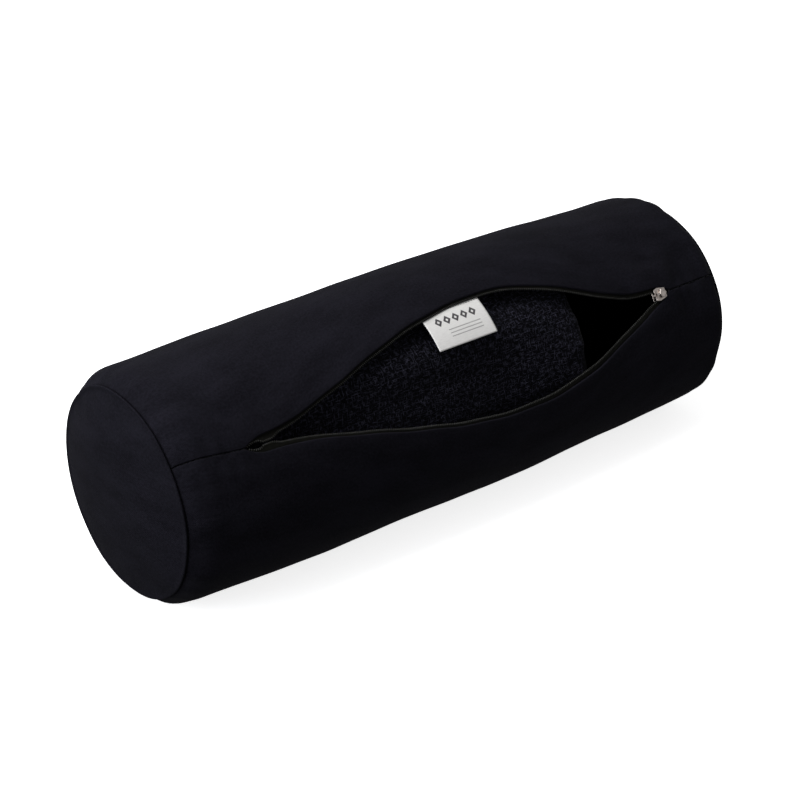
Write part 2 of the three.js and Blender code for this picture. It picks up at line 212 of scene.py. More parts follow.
BRUSHED = brushed_cloth_group()
LINEN = slub_linen_group()


# %% The strand and metal groups
def strand_group():
    """Fine streaks along a twisted thread or a drawn strand."""
    group, given, out = new_group("strand", {"Scale": 2000}, ["Streaks"])
    lengthened = stretched(group, given["Vector"], (1, 0.6, 1))
    join(group, out, Streaks=cloud(group, lengthened, given["Scale"], 4, 0.6))
    return group


def plated_metal_group():
    """Smudges change a plating's gloss, and fine scratches break its shine."""
    group, given, out = new_group("plated_metal", {"Scale": 700}, ["Smudges", "Scratches"])
    smudges = cloud(group, given["Vector"], given["Scale"], 5, 0.65)
    drawn_out = stretched(group, given["Vector"], (600, 6000, 6000))
    join(group, out, Smudges=smudges, Scratches=cloud(group, drawn_out, 1, 3))
    return group


STRAND = strand_group()
PLATED = plated_metal_group()


# %% Materials from the groups
def new_material(name, **constants):
    """A material and its shader. Sockets that are the same all over are set here."""
    material = bpy.data.materials.new(name)
    material.use_nodes = True
    shader = material.node_tree.nodes["Principled BSDF"]
    for label, value in constants.items():
        shader.inputs[label.replace("_", " ")].default_value = value
    return material, material.node_tree, shader.inputs


def two_tones(tree, mask, low, high, dark, light):
    """Runs from a dark to a light colour as the mask goes from low to high."""
    ramp = add(tree, "ValToRGB", {"Fac": mask})
    for stop, place, colour in zip(ramp.color_ramp.elements, (low, high), (dark, light)):
        stop.position, stop.color = place, (*colour, 1)
    return ramp.outputs["Color"]


def bump(tree, height, distance):
    return add(tree, "Bump", {"Height": height, "Distance": distance}).outputs[0]


def on_cloth(tree):
    """A place on the flat cloth, in metres."""
    return add(tree, "UVMap", uv_map="cloth").outputs[0]


def on_object(tree):
    return add(tree, "TexCoord").outputs["Object"]


def cloth_material(name, dark, light, threads, nap, sheen, relief):
    constants = {"Sheen_Weight": sheen, "Sheen_Roughness": 0.45, "Specular_IOR_Level": 0.05}
    material, tree, shader = new_material(name, **constants)
    cloth = use_group(tree, BRUSHED, on_cloth(tree), Threads=threads, Nap=nap)
    tones = two_tones(tree, cloth["Shade"], 0.38, 0.62, dark, light)
    rough = math_node(tree, "MULTIPLY_ADD", cloth["Shade"], 0.12, 0.82)
    normal = bump(tree, cloth["Height"], relief)
    join(tree, shader, Base_Color=tones, Roughness=rough, Normal=normal)
    return material


COVER_TONES = (0.0037, 0.0035, 0.0057), (0.0087, 0.0083, 0.0126)
TAPE_TONES = (0.0022, 0.0022, 0.0017), (0.007, 0.007, 0.0054)
cover_finish = cloth_material("charcoal_brushed_cloth", *COVER_TONES, 1800, 1.0, 0.008, 0.2 * MM)
tape_finish = cloth_material("black_woven_tape", *TAPE_TONES, 2600, 0.3, 0.05, 0.08 * MM)


# %% The insert's linen and its filling
def linen_material():
    constants = {"Sheen_Weight": 0.02, "Sheen_Roughness": 0.5, "Specular_IOR_Level": 0.05}
    material, tree, shader = new_material("navy_slub_linen", Roughness=0.9, **constants)
    cloth = use_group(tree, LINEN, on_cloth(tree))
    dark, light = (0.0008, 0.0008, 0.0018), (0.04, 0.04, 0.06)
    tones = two_tones(tree, cloth["Fleck"], 0.53, 0.7, dark, light)
    join(tree, shader, Base_Color=tones, Normal=bump(tree, cloth["Height"], 0.35 * MM))
    return material


def fibre_material():
    material, tree, shader = new_material("white_fibre", Roughness=1.0)
    strands = cloud(tree, stretched(tree, on_object(tree), (90, 400, 400)), 1, 6, 0.7)
    tones = two_tones(tree, strands, 0.3, 0.7, (0.6, 0.59, 0.56), (0.86, 0.85, 0.82))
    join(tree, shader, Base_Color=tones, Normal=bump(tree, strands, 1.5 * MM))
    return material


insert_finish = linen_material()
filling_finish = fibre_material()


# %% Thread, nylon and metal
def strand_material(name, dark, light, roughness, scale, relief):
    material, tree, shader = new_material(name, Roughness=roughness)
    streaks = use_group(tree, STRAND, on_object(tree), Scale=scale)["Streaks"]
    tones = two_tones(tree, streaks, 0.35, 0.65, dark, light)
    join(tree, shader, Base_Color=tones, Normal=bump(tree, streaks, relief))
    return material


def metal_material(name, dark, light, low_rough, high_rough):
    material, tree, shader = new_material(name, Metallic=1.0)
    plated = use_group(tree, PLATED, on_object(tree))
    tones = two_tones(tree, plated["Smudges"], 0.35, 0.65, dark, light)
    rough = math_node(tree, "MULTIPLY_ADD", plated["Smudges"], high_rough - low_rough, low_rough)
    normal = bump(tree, plated["Scratches"], 0.02 * MM)
    join(tree, shader, Base_Color=tones, Roughness=rough, Normal=normal)
    return material


THREAD_TONES = (0.006, 0.006, 0.007), (0.016, 0.016, 0.019)
NYLON_TONES = (0.004, 0.004, 0.0034), (0.03, 0.03, 0.026)
thread_finish = strand_material("black_thread", *THREAD_TONES, 0.6, 2500, 0.05 * MM)
coil_finish = strand_material("black_nylon", *NYLON_TONES, 0.4, 1500, 0.01 * MM)
slider_finish = metal_material("warm_plating", (0.36, 0.32, 0.295), (0.66, 0.59, 0.55), 0.18, 0.4)
spring_finish = metal_material("spring_steel", (0.45, 0.45, 0.46), (0.62, 0.62, 0.63), 0.15, 0.3)

# %% [markdown]
# ## The roll's own surface
#
# Every cloth piece follows one barrel-shaped surface: widest in the middle, rounded in at the end
# seams, and flattened where it rests. If one function gives a point on that surface, the cover, the
# zip and the label can't drift apart. An angle is measured from level on the zip side, upwards.

# %% The roll's sizes, read from the CAD boxes
tube_low, tube_high = map(Vector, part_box("cover_tube"))
disc_low, disc_high = map(Vector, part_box("cover_end_left"))
HALF_LENGTH = tube_high.x
MIDDLE_RADIUS = (tube_high.y - tube_low.y) / 2
AXIS_HEIGHT = tube_high.z - MIDDLE_RADIUS
SEAM_RADIUS = (disc_high.y - disc_low.y) / 2 - 1.2 * MM  # its stitches draw it in
SHOULDER_RADIUS = 68.6 * MM
ROUNDING = 18 * MM
RIGHT_ROUNDING = 0.62  # the right shoulder rounds over this part of the left one's reach
UNDERSIDE = 1.6 * MM  # how far the cloth hangs below a true round
SAG = 5 * MM
CLOTH = 0.7 * MM
print(f"roll: {2 * HALF_LENGTH:.3f} long, {2 * MIDDLE_RADIUS:.3f} across")


def smoothstep(low, high, value):
    part = min(1.0, max(0.0, (value - low) / (high - low)))
    return part * part * (3 - 2 * part)


def cover_radius(x):
    """The smooth cover's radius at x, before any wrinkle. Its right shoulder is the squarer."""
    barrel = (MIDDLE_RADIUS - SHOULDER_RADIUS) * (1 - (x / HALF_LENGTH) ** 2)
    rounding = ROUNDING * (1 if x < 0 else RIGHT_ROUNDING)
    into_end = max(0.0, (abs(x) - HALF_LENGTH + rounding) / rounding)
    return SHOULDER_RADIUS + barrel - (SHOULDER_RADIUS - SEAM_RADIUS) * into_end**2.4


def on_floor(height, softness=2 * MM):
    """Presses a height gently flat where the roll meets the floor."""
    return (height + math.sqrt(height * height + softness * softness)) / 2


def end_sag(x, height):
    """The slack right end leans out towards its foot."""
    low = smoothstep(AXIS_HEIGHT + 35 * MM, AXIS_HEIGHT - 42 * MM, height)
    return SAG * low * smoothstep(110 * MM, HALF_LENGTH, x)


def roll_point(x, angle, radius, depth=0.0):
    hang = UNDERSIDE * radius / MIDDLE_RADIUS * max(0.0, -math.sin(angle)) ** 3
    height = AXIS_HEIGHT + math.sin(angle) * radius - hang
    lifted = on_floor(height - depth) + depth
    return Vector((x + end_sag(x, height), -math.cos(angle) * radius, lifted))


# %% [markdown]
# ## Where the zip runs
#
# The zip line is straight, and the two lips leave it in soft arcs. The real cloth does this because
# a zip tape bends easily in its own plane but hardly stretches. A power of a cosine gives that
# shape: level at its widest place and drawn to nothing at both ends.

# %% The zip line and its two lips
coil_low, coil_high = map(Vector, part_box("zip_coil_upper"))
pull_axis = Vector(joints["pull_hinge"]["axis"])
ZIP_ANGLE = math.atan2(pull_axis.y, pull_axis.z)
ZIP_LEFT, ZIP_RIGHT = coil_low.x, coil_high.x
slider_low, slider_high = map(Vector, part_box("slider_body"))
SLIDER_X = (slider_low.x + slider_high.x) / 2
SLIDER_HALF = (slider_high.x - slider_low.x) / 2
FAR_X = SLIDER_X - joints["zip_slide"]["range_m"][1]  # the slider's stop at the zip's left end

LIPS = {
    "upper": {"way": 1, "rise": 41 * MM, "crest": 22 * MM, "powers": (1.55, 2)},
    "lower": {"way": -1, "rise": 38 * MM, "crest": 40 * MM, "powers": (1.55, 1.05)},
}
SLIDER_ROOM = 4.5 * MM  # from the zip line to the cloth, so that the slider can pass
ROOM_REACH = 11 * MM
print(f"zip: {math.degrees(ZIP_ANGLE):.1f} degrees up, {ZIP_RIGHT - ZIP_LEFT:.3f} long")


def lip_rise(lip, x):
    left = x < lip["crest"]
    reach = lip["crest"] - ZIP_LEFT if left else ZIP_RIGHT - lip["crest"]
    part = min(1.0, abs(x - lip["crest"]) / reach)
    return lip["rise"] * math.cos(part * math.pi / 2) ** lip["powers"][0 if left else 1]


def cloth_edge(lip, x):
    """How far the folded cloth stands from the zip line. It always leaves the slider room."""
    inside = min(x - ZIP_LEFT, ZIP_RIGHT - x)
    room = SLIDER_ROOM * math.sqrt(smoothstep(-2 * MM, ROOM_REACH, inside))
    wave = 0.22 * MM * math.sin(x * 170 + lip["way"]) * min(1.0, lip_rise(lip, x) / (10 * MM))
    return math.hypot(lip_rise(lip, x), room) + wave + 0.2 * MM


def reveal(lip, x):
    """How much of the zip tape shows past the cloth: more where the lower lip rolls outwards."""
    rolled = smoothstep(0, 90 * MM, x) if lip["way"] < 0 else 0.5 * smoothstep(40 * MM, 120 * MM, x)
    return (2.5 + 1.6 * rolled) * MM


def coil_place(lip, x):
    """The coil's middle from the zip line: closed behind the slider, parted ahead of it."""
    closed = 0.95 * MM
    round_wedge = smoothstep(0, 0.6, (FAR_X - x) / SLIDER_HALF)
    round_wedge *= smoothstep(0, 5 * MM, x - ZIP_LEFT)
    open_mouth = smoothstep(0, 7 * MM, x - FAR_X - SLIDER_HALF)
    parted = 1.3 * MM * smoothstep(0, 0.6, (SLIDER_X - x) / SLIDER_HALF)
    drawn_back = cloth_edge(lip, x) - SLIDER_ROOM - 0.2 * MM
    back = drawn_back + (SLIDER_ROOM - reveal(lip, x) - closed) * smoothstep(0, 6 * MM, drawn_back)
    return closed + parted * max(round_wedge, open_mouth) + max(0.0, back) * open_mouth


# %% [markdown]
# ## Wrinkles that sewing makes
#
# Cloth puckers where thread gathers it: in fine ripples round each end seam and across the plain
# seams beside the zip. Away from the seams the filling presses it into broad, shallow waves. All of
# these are small moves along the surface's own normal, so they can be one function.

# %% Wrinkles
def ripple(value, places):
    """A wave whose length wanders, so that no two puckers match."""
    return math.sin(value + 1.7 * noise.noise(places))


def rim_wobble(side, angle):
    """A hand-sewn end is never quite round."""
    around = Vector((side * 5, math.cos(angle), math.sin(angle)))
    return 1.9 * MM * noise.noise(around * 0.9) + 0.8 * MM * noise.noise(around * 2.3)


def seam_puckers(x, angle):
    to_rim = HALF_LENGTH - abs(x)
    fade = math.exp(-to_rim / (11 * MM)) * smoothstep(0, 4 * MM, to_rim)
    around = ripple(angle * 26, Vector((math.copysign(3, x), angle * 5, 0)))
    wide = ripple(angle * 9, Vector((math.copysign(7, x), angle * 3, 1)))
    return fade * (0.4 * MM * around + 0.8 * MM * wide)


def closing_puckers(x, angle):
    beyond = max(ZIP_LEFT - x, x - ZIP_RIGHT)
    from_seam = abs(angle - ZIP_ANGLE) * MIDDLE_RADIUS
    fade = math.exp(-from_seam / (11 * MM)) * smoothstep(-14 * MM, 4 * MM, beyond)
    side = math.copysign(1, angle - ZIP_ANGLE)
    return 0.8 * MM * fade * ripple(x * 560 + side, Vector((x * 60, side, 4)))


def drag_lines(x, angle):
    """Folds that run out from the zip's ends, where the cloth is pulled round a corner."""
    height = 0.0
    for end, depth in ((ZIP_LEFT, 0.35 * MM), (ZIP_RIGHT, 1.3 * MM)):
        along, across = x - end, (angle - ZIP_ANGLE) * MIDDLE_RADIUS
        distance = math.hypot(along, across)
        fade = math.exp(-distance / (26 * MM)) * smoothstep(2 * MM, 9 * MM, distance)
        height += depth * fade * math.sin(5 * math.atan2(across, along) + 2)
    return height


def slack(x, angle):
    """The empty end has no insert to hold it out, so its cloth sinks beside the zip."""
    empty = smoothstep(85 * MM, 120 * MM, x) * smoothstep(0, 30 * MM, HALF_LENGTH - x)
    beside = math.exp(-(((angle - ZIP_ANGLE) / 0.75) ** 2))
    return -2.0 * MM * empty * beside


def calm(x, angle):
    """0 at both of the slider's stops, where stiff tapes hold the cloth smooth, and 1 elsewhere."""
    beside = smoothstep(26 * MM, 15 * MM, abs(angle - ZIP_ANGLE) * MIDDLE_RADIUS)
    stops = ((SLIDER_X - x, x - ZIP_RIGHT), (x - FAR_X, ZIP_LEFT - x))
    near = (
        smoothstep(24 * MM, 13 * MM, inwards) * smoothstep(13 * MM, 5 * MM, past_zip)
        for inwards, past_zip in stops
    )
    return 1 - beside * sum(near)


def wrinkle(x, angle):
    """How far the cloth stands out from the plain barrel."""
    angle = math.remainder(angle, 2 * math.pi)
    round_place = Vector((0, math.cos(angle), math.sin(angle)))
    broad = noise.noise(Vector((x * 12, 0, 0)) + round_place * 1.5)
    fine = noise.noise(Vector((x * 40, 3, 0)) + round_place * 4)
    to_rim = HALF_LENGTH - abs(x)
    loose = broad * 1.3 * MM + fine * 0.3 * MM + drag_lines(x, angle) + slack(x, angle)
    held = min(1.0, to_rim / (12 * MM)) * loose
    wobble = rim_wobble(math.copysign(1, x), angle) * math.exp(-to_rim / (25 * MM))
    puckers = seam_puckers(x, angle) + closing_puckers(x, angle)
    return (held + wobble + puckers) * calm(x, angle)


def on_cover(x, angle, depth=0.0):
    return roll_point(x, angle, cover_radius(x) + wrinkle(x, angle) - depth, depth)


def zip_angle(lip, x, distance):
    """The angle at a distance along the cloth from the zip line, on one lip's side."""
    drawn_up = 0.075 * smoothstep(-150 * MM, -HALF_LENGTH, x)
    return ZIP_ANGLE + drawn_up + lip["way"] * distance / cover_radius(x)


# %% [markdown]
# ## Making cloth from a flat grid
#
# A tailor starts with flat panels, and so does this script: a grid of squares is rolled up or laid
# along a lip by moving its corners, then given its thickness by a Solidify modifier. The grid keeps
# tidy squares, and a UV map in metres, so a weave runs straight along the panel and keeps its size.


# %% Helpers for cloth
def new_piece(name, bm, body, finish):
    for face in bm.faces:
        face.smooth = True
    piece = in_scene(name, mesh_from(name, bm))
    piece.data.materials.append(finish)
    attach(piece, body)
    return piece


def spread(low, high, count):
    return [low + (high - low) * step / count for step in range(count + 1)]


def cloth_grid(along, across, place, size):
    """A grid rolled up by place(x, row). size(row) is how far a row lies across the flat cloth."""
    bm = bmesh.new()
    columns, rows = len(along) - 1, len(across) - 1
    bmesh.ops.create_grid(bm, x_segments=columns, y_segments=rows, size=1)
    uv = bm.loops.layers.uv.new("cloth")
    for vert in bm.verts:
        x = along[round((vert.co.x + 1) / 2 * columns)]
        row = across[round((vert.co.y + 1) / 2 * rows)]
        for loop in vert.link_loops:
            loop[uv].uv = (x, size(row))
        vert.co = place(x, row)
    return bm


def thicken(piece, thickness, offset=-1):
    modifier = piece.modifiers.new("cloth_thickness", "SOLIDIFY")
    modifier.thickness = thickness
    modifier.offset = offset


def spun(profile, height, steps):
    """A skin made by spinning a profile of (x, radius) about a line along X."""
    bm = bmesh.new()
    points = [bm.verts.new((x, radius, height)) for x, radius in profile]
    edges = [bm.edges.new(pair) for pair in zip(points, points[1:])]
    turn = {"axis": (1, 0, 0), "cent": (0, 0, height), "angle": 2 * math.pi, "steps": steps}
    bmesh.ops.spin(bm, geom=points + edges, use_merge=True, **turn)
    bmesh.ops.remove_doubles(bm, verts=bm.verts, dist=0.05 * MM)
    return bm


# %% [markdown]
# ## The cover's tube
#
# The tube is one panel. Its two long edges are folded in and sewn to the zip, and its ends are
# folded in and sewn to the round end panels. A fold is a small half circle followed by a short
# return, so the panel's grid carries extra rows for it: each row says how far round the fold it is.

# %% The folds along the panel's edges
FOLD_RADIUS = 0.85 * MM
FOLD_RETURN = 8 * MM
FOLD_ROWS = 8
BODY_ROWS = 176
END_HEM = 6 * MM
HEM_REACH = 0.8 * MM  # how far the turned rim bulges past the seam


def fold_offset(turn, in_mouth):
    """(Distance back from the fold's crest, depth) as turn goes from 0 to 1 round the fold."""
    half_turn = math.pi / 2 * (1 + in_mouth)
    bend = min(1.0, turn / 0.8) * half_turn
    beyond = max(0.0, turn - 0.8) / 0.2 * FOLD_RETURN
    back = FOLD_RADIUS * (1 - math.sin(bend)) - beyond * math.cos(half_turn)
    return back, FOLD_RADIUS * (1 - math.cos(bend)) + beyond * math.sin(half_turn)


def panel_rows():
    """Each row's part of the way round and its turn of the fold. 0 and 1 are the two lips."""
    turns = [*spread(0.12, 0.8, FOLD_ROWS - 2), 1.0]
    upper = [(0.0, turn) for turn in reversed(turns)]
    lower = [(1.0, turn) for turn in turns]
    return upper + [(part, 0.0) for part in spread(0, 1, BODY_ROWS)] + lower


def panel_columns():
    inner = HALF_LENGTH - ROUNDING
    bend = [0.15, 0.3, 0.45, 0.58, 0.7, 0.8, 0.88, 0.94, 0.98, 1]
    hem = spread(HALF_LENGTH, HALF_LENGTH + HEM_REACH, 4)[1:]
    right = [inner + ROUNDING * part for part in bend] + hem
    return [-x for x in reversed(right)] + spread(-inner, inner, 170) + right


# %% The tube, rolled up
def tube_point(x, row):
    part, turn = row
    hem_part = max(0.0, abs(x) - HALF_LENGTH) / HEM_REACH
    x_on_roll = math.copysign(min(abs(x), HALF_LENGTH), x)
    upper, lower = LIPS["upper"], LIPS["lower"]
    first = zip_angle(upper, x_on_roll, cloth_edge(upper, x_on_roll) + FOLD_RADIUS)
    last = zip_angle(lower, x_on_roll, cloth_edge(lower, x_on_roll) + FOLD_RADIUS) + 2 * math.pi
    angle, depth = first + (last - first) * part, 0.0
    if turn:
        in_mouth = smoothstep(0, 6 * MM, min(x_on_roll - ZIP_LEFT, ZIP_RIGHT - x_on_roll))
        back, depth = fold_offset(turn, in_mouth)
        way = 1 if part < 0.5 else -1
        angle += way * (back - FOLD_RADIUS) / cover_radius(x_on_roll)
    beyond_rim = math.copysign(0.5 * MM * hem_part**0.5, x)
    return on_cover(x_on_roll, angle, depth + END_HEM * hem_part**1.5) + Vector((beyond_rim, 0, 0))


def tube_size(row):
    part, turn = row
    around = 2 * math.pi * MIDDLE_RADIUS * part
    return around + math.copysign(turn * FOLD_RETURN, part - 0.5)


tube_grid = cloth_grid(panel_columns(), panel_rows(), tube_point, tube_size)
cover_tube = new_piece("cover_tube_cloth", tube_grid, "cover", cover_finish)
thicken(cover_tube, CLOTH)
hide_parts("cover_tube")
print("cover tube:", len(cover_tube.data.polygons), "squares of cloth")

# %% [markdown]
# ## The cover's round ends
#
# Each end is a disc of the same cloth, pushed out a little by what is inside. Its rim is turned in
# and meets the tube's turned rim, so the seam between them is a narrow groove and not a painted
# line. A profile spun about the roll's axis gives the disc and its turned rim in one sweep.


# %% An end disc
DISC_DOME = 9 * MM
RIM_GAP = 1.2 * MM  # from the tube's rim to the disc's edge


def disc_profile():
    """(Radius, place beyond the tube's rim) from the middle to the end of the turned rim."""
    face = [
        (SEAM_RADIUS * part, RIM_GAP + DISC_DOME * (1 - part**2.3)) for part in spread(0, 0.97, 24)
    ]
    turned = [(0.5, 2.3), (0.2, 1.85), (0.25, 1.4), (0.8, 1.1), (2.5, 1.0), (6, 1.0)]
    return face + [(SEAM_RADIUS - inset * MM, place * MM) for inset, place in turned]


def end_disc(side):
    profile = [(side * (HALF_LENGTH + place), radius) for radius, place in disc_profile()]
    bm = spun(profile, 0, 144)
    for vert in bm.verts:
        radius, angle = math.hypot(vert.co.y, vert.co.z), math.atan2(vert.co.z, -vert.co.y)
        part = min(1.0, radius / SEAM_RADIUS)
        wide = noise.noise(Vector((side * 3, vert.co.y * 22, vert.co.z * 22)))
        pucker = ripple(angle * 24, Vector((side, angle * 4, 9))) * math.exp((part - 1) * 11)
        stand = (1 - part**4) * 1.6 * MM * wide + smoothstep(0.99, 0.9, part) * 0.45 * MM * pucker
        radius += rim_wobble(side, angle) * part**2
        vert.co = roll_point(vert.co.x + side * stand, angle, radius)
    bmesh.ops.recalc_face_normals(bm, faces=bm.faces)
    uv = bm.loops.layers.uv.new("cloth")
    for face in bm.faces:
        for loop in face.loops:
            loop[uv].uv = (loop.vert.co.y, loop.vert.co.z)
    if sum(face.normal.x * side for face in bm.faces) < 0:
        bmesh.ops.reverse_faces(bm, faces=bm.faces)
    return bm


ENDS = {"left": -1, "right": 1}
for end, side in ENDS.items():
    disc = new_piece(f"cover_end_cloth_{end}", end_disc(side), "cover", cover_finish)
    thicken(disc, CLOTH)
    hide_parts(f"cover_end_{end}")
    across = 2 * (SEAM_RADIUS + END_HEM)
    print(disc.name, "covers a circle", round(2 * SEAM_RADIUS, 4), "across")

# %% [markdown]
# ## The zip's tapes
#
# A zip's teeth are carried on a woven tape, which is sewn under the folded edge of the cloth. Near
# the slider the two tapes have to lie exactly in its channel, so there the tape leaves the cloth's
# own surface and follows the line on which the slider travels.

# %% The line on which the slider travels
hinge_place = Vector(joints["pull_hinge"]["pos_m"])
SLIDER_TILT = 0.0219  # it lies along the barrel's slope
BRIDGE_X = -3.2 * MM
PIN_HEIGHT = 2.6 * MM
turned = Matrix.Rotation(math.pi / 2 - ZIP_ANGLE, 4, "X") @ Matrix.Rotation(SLIDER_TILT, 4, "Y")
slider_middle = hinge_place - turned @ Vector((BRIDGE_X, 0, PIN_HEIGHT))
SLIDER_PLACE = Matrix.Translation(slider_middle) @ turned
CHANNEL_RADIUS = math.hypot(slider_middle.y, slider_middle.z - AXIS_HEIGHT)
TAPE_DEPTH = 2.4 * MM
TAPE_WIDTH = 12 * MM
TAPE_OVERRUN = 5 * MM
TAPE_THICKNESS = 0.45 * MM
print(f"the slider stands {CHANNEL_RADIUS:.4f} from the roll's axis")


def chain_radius(x, angle):
    """The radius of the tape's middle, which is the slider's channel at both of its stops."""
    under_cloth = cover_radius(x) + wrinkle(x, angle) - TAPE_DEPTH
    stop = SLIDER_X if x > 0 else FAR_X
    from_stop = min(SLIDER_HALF, max(-SLIDER_HALF, x - stop))
    in_channel = CHANNEL_RADIUS - from_stop * math.tan(SLIDER_TILT)
    near = smoothstep(16 * MM, 6 * MM, abs(x - stop))
    return under_cloth + (in_channel - under_cloth) * near


def chain_point(lip, x, distance, lift=0.0):
    angle = zip_angle(lip, x, distance)
    return roll_point(x, angle, chain_radius(x, angle) + lift, TAPE_DEPTH)


# %% The two tapes
def tape_point(lip, x, across):
    """Across is 0 at the coil and 1 at the hidden edge. The part that shows rolls up a little."""
    shown = reveal(lip, x) / TAPE_WIDTH
    roll = math.sin(min(1.0, across / (shown + 0.15)) * math.pi)
    away_from_slider = smoothstep(8 * MM, 20 * MM, min(SLIDER_X - x, x - FAR_X))
    lift = 0.55 * MM * roll * away_from_slider
    edge = coil_place(lip, x) - 0.4 * MM
    return chain_point(lip, x, edge + across * TAPE_WIDTH, lift - 0.45 * MM * across)


for name, lip in LIPS.items():
    along = spread(ZIP_LEFT - TAPE_OVERRUN, ZIP_RIGHT + TAPE_OVERRUN, 230)
    across = [0, 0.04, 0.09, 0.14, 0.19, 0.25, 0.31, 0.38, 0.5, 0.65, 0.8, 1]
    place = partial(tape_point, lip)
    grid = cloth_grid(along, across, place, lambda part: part * TAPE_WIDTH)
    if lip["way"] < 0:
        bmesh.ops.reverse_faces(grid, faces=grid.faces)
    tape = new_piece(f"zip_tape_cloth_{name}", grid, "cover", tape_finish)
    thicken(tape, TAPE_THICKNESS, 0)
    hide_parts(f"zip_tape_{name}")

# %% [markdown]
# ## The zip's coils
#
# The teeth of this zip are one nylon strand wound into a coil along each tape's edge. Hundreds of
# loops need a cheap shape, so one small ring is made once and copied along the edge. Each copy
# leans a little, as a wound strand does, and the two sides are half a step apart, to mesh.

# %% One loop of the coil
COIL_PITCH = 1.25 * MM
COIL_RADIUS = 0.56 * MM
STRAND_RADIUS = 0.19 * MM


def coil_loop():
    """A ring about X, made by spinning a small circle."""
    bm = bmesh.new()
    ring = bmesh.ops.create_circle(bm, segments=5, radius=STRAND_RADIUS)["verts"]
    bmesh.ops.translate(bm, verts=ring, vec=(0, COIL_RADIUS, 0))
    turn = {"axis": (1, 0, 0), "cent": (0, 0, 0), "angle": 2 * math.pi, "steps": 8}
    bmesh.ops.spin(bm, geom=bm.verts[:] + bm.edges[:], use_merge=True, **turn)
    bmesh.ops.recalc_face_normals(bm, faces=bm.faces)
    return mesh_from("coil_loop", bm)


def radial(point):
    return Vector((0, point.y, point.z - AXIS_HEIGHT)).normalized()


def lying_on(point, along, outward):
    """Turns X along a line and Z outwards, and moves to the point."""
    along = along.normalized()
    across = outward.cross(along).normalized()
    upward = along.cross(across)
    return Matrix.Translation(point) @ Matrix((along, across, upward)).transposed().to_4x4()


def repeat(mesh, places):
    """One mesh holding a copy of a small mesh at every place."""
    bm = bmesh.new()
    for place in places:
        start = len(bm.verts)
        bm.from_mesh(mesh)
        bm.verts.ensure_lookup_table()
        bmesh.ops.transform(bm, matrix=place, verts=bm.verts[start:])
    return bm


# %% The two coils
def coil_places(lip):
    count = round((ZIP_RIGHT - ZIP_LEFT) / COIL_PITCH)
    start = ZIP_LEFT + COIL_PITCH * (0.25 if lip["way"] > 0 else 0.75)
    lean = Matrix.Rotation(0.3 * lip["way"], 4, "Z")
    for step in range(count - 1):
        x = start + step * COIL_PITCH
        pair = (x, x + 0.5 * MM)
        here, after = (chain_point(lip, place, coil_place(lip, place)) for place in pair)
        yield lying_on(here, after - here, radial(here)) @ lean


loop = coil_loop()
for name, lip in LIPS.items():
    loops = repeat(loop, coil_places(lip))
    coil = new_piece(f"zip_coil_loops_{name}", loops, "cover", coil_finish)
    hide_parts(f"zip_coil_{name}")
    print(coil.name, len(coil.data.polygons) // len(loop.polygons), "loops")

# %% [markdown]
# ## Stitches
#
# A machine stitch is a short, slightly flattened length of thread that dips into the cloth at both
# ends. A squashed ball with few faces is enough, because a stitch is about as long as a grain of
# rice is wide. One function sews a row of them along any line of points.

# %% A row of stitches
STITCH_STEP = 2.6 * MM
STITCH_WIDTH = 0.5 * MM


def stitch(length, width, height):
    bm = bmesh.new()
    ball = bmesh.ops.create_uvsphere(bm, u_segments=6, v_segments=5, radius=0.5)["verts"]
    bmesh.ops.rotate(bm, verts=ball, matrix=Matrix.Rotation(math.pi / 2, 3, "Y"))
    bmesh.ops.scale(bm, verts=ball, vec=(length, width, height))
    return mesh_from("stitch", bm)


SEAM_STITCH = stitch(0.85 * STITCH_STEP, STITCH_WIDTH, 0.7 * STITCH_WIDTH)


def sew(name, lines, body, replaced, one_stitch=SEAM_STITCH):
    """Sews one stitch at each point of each line. The lines run through their points in order."""
    places = []
    for line in lines:
        for number, point in enumerate(line):
            first, last = line[max(0, number - 1)], line[min(len(line) - 1, number + 1)]
            places.append(lying_on(point, last - first, radial(point)))
    row = new_piece(name, repeat(one_stitch, places), body, thread_finish)
    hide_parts(replaced)
    print(name, len(places), "stitches")


def steps_between(low, high, step=STITCH_STEP):
    return spread(low, high, round((high - low) / step))


# %% The cover's seams
for end, side in ENDS.items():
    ring = []
    for angle in steps_between(0, 2 * math.pi, STITCH_STEP / SEAM_RADIUS)[:-1]:
        radius = SEAM_RADIUS + rim_wobble(side, angle) - 2.4 * MM
        ring.append(roll_point(side * (HALF_LENGTH + 0.72 * MM), angle, radius))
    sew(f"cover_end_stitches_{end}", [ring], "cover", f"cover_end_seam_{end}")

    zip_end = ZIP_LEFT if side < 0 else ZIP_RIGHT
    near, far = abs(zip_end) + TAPE_OVERRUN + 1 * MM, HALF_LENGTH - 4 * MM
    seam = [side * x for x in steps_between(near, far)]
    seam = [on_cover(x, zip_angle(LIPS["upper"], x, 0), 1.7 * MM) for x in seam]
    sew(f"closing_stitches_{end}", [seam], "cover", f"closing_seam_{end}")

    tack_middle = zip_end + side * TAPE_OVERRUN / 2
    tack = [
        [chain_point(LIPS["upper"], x, across, 0.6 * MM) for across in spread(-3 * MM, 3 * MM, 3)]
        for x in spread(tack_middle - 0.75 * MM, tack_middle + 0.75 * MM, 6)
    ]
    sew(f"zip_bar_tack_stitches_{end}", tack, "cover", f"zip_bar_tack_{end}")

for name, lip in LIPS.items():
    line = steps_between(ZIP_LEFT, ZIP_RIGHT)
    line = [chain_point(lip, x, cloth_edge(lip, x) + 4 * MM, -0.75 * MM) for x in line]
    sew(f"zip_tape_stitches_{name}", [line], "cover", f"zip_stitching_{name}")

# %% [markdown]
# ## The woven label
#
# A small satin label is caught in the upper lip's seam and hangs into the opening over the insert.
# It is flat cloth, a little curled. Its woven pattern here is a plain row of lozenges and three
# short bars, drawn by its material from simple sums on the UV map.

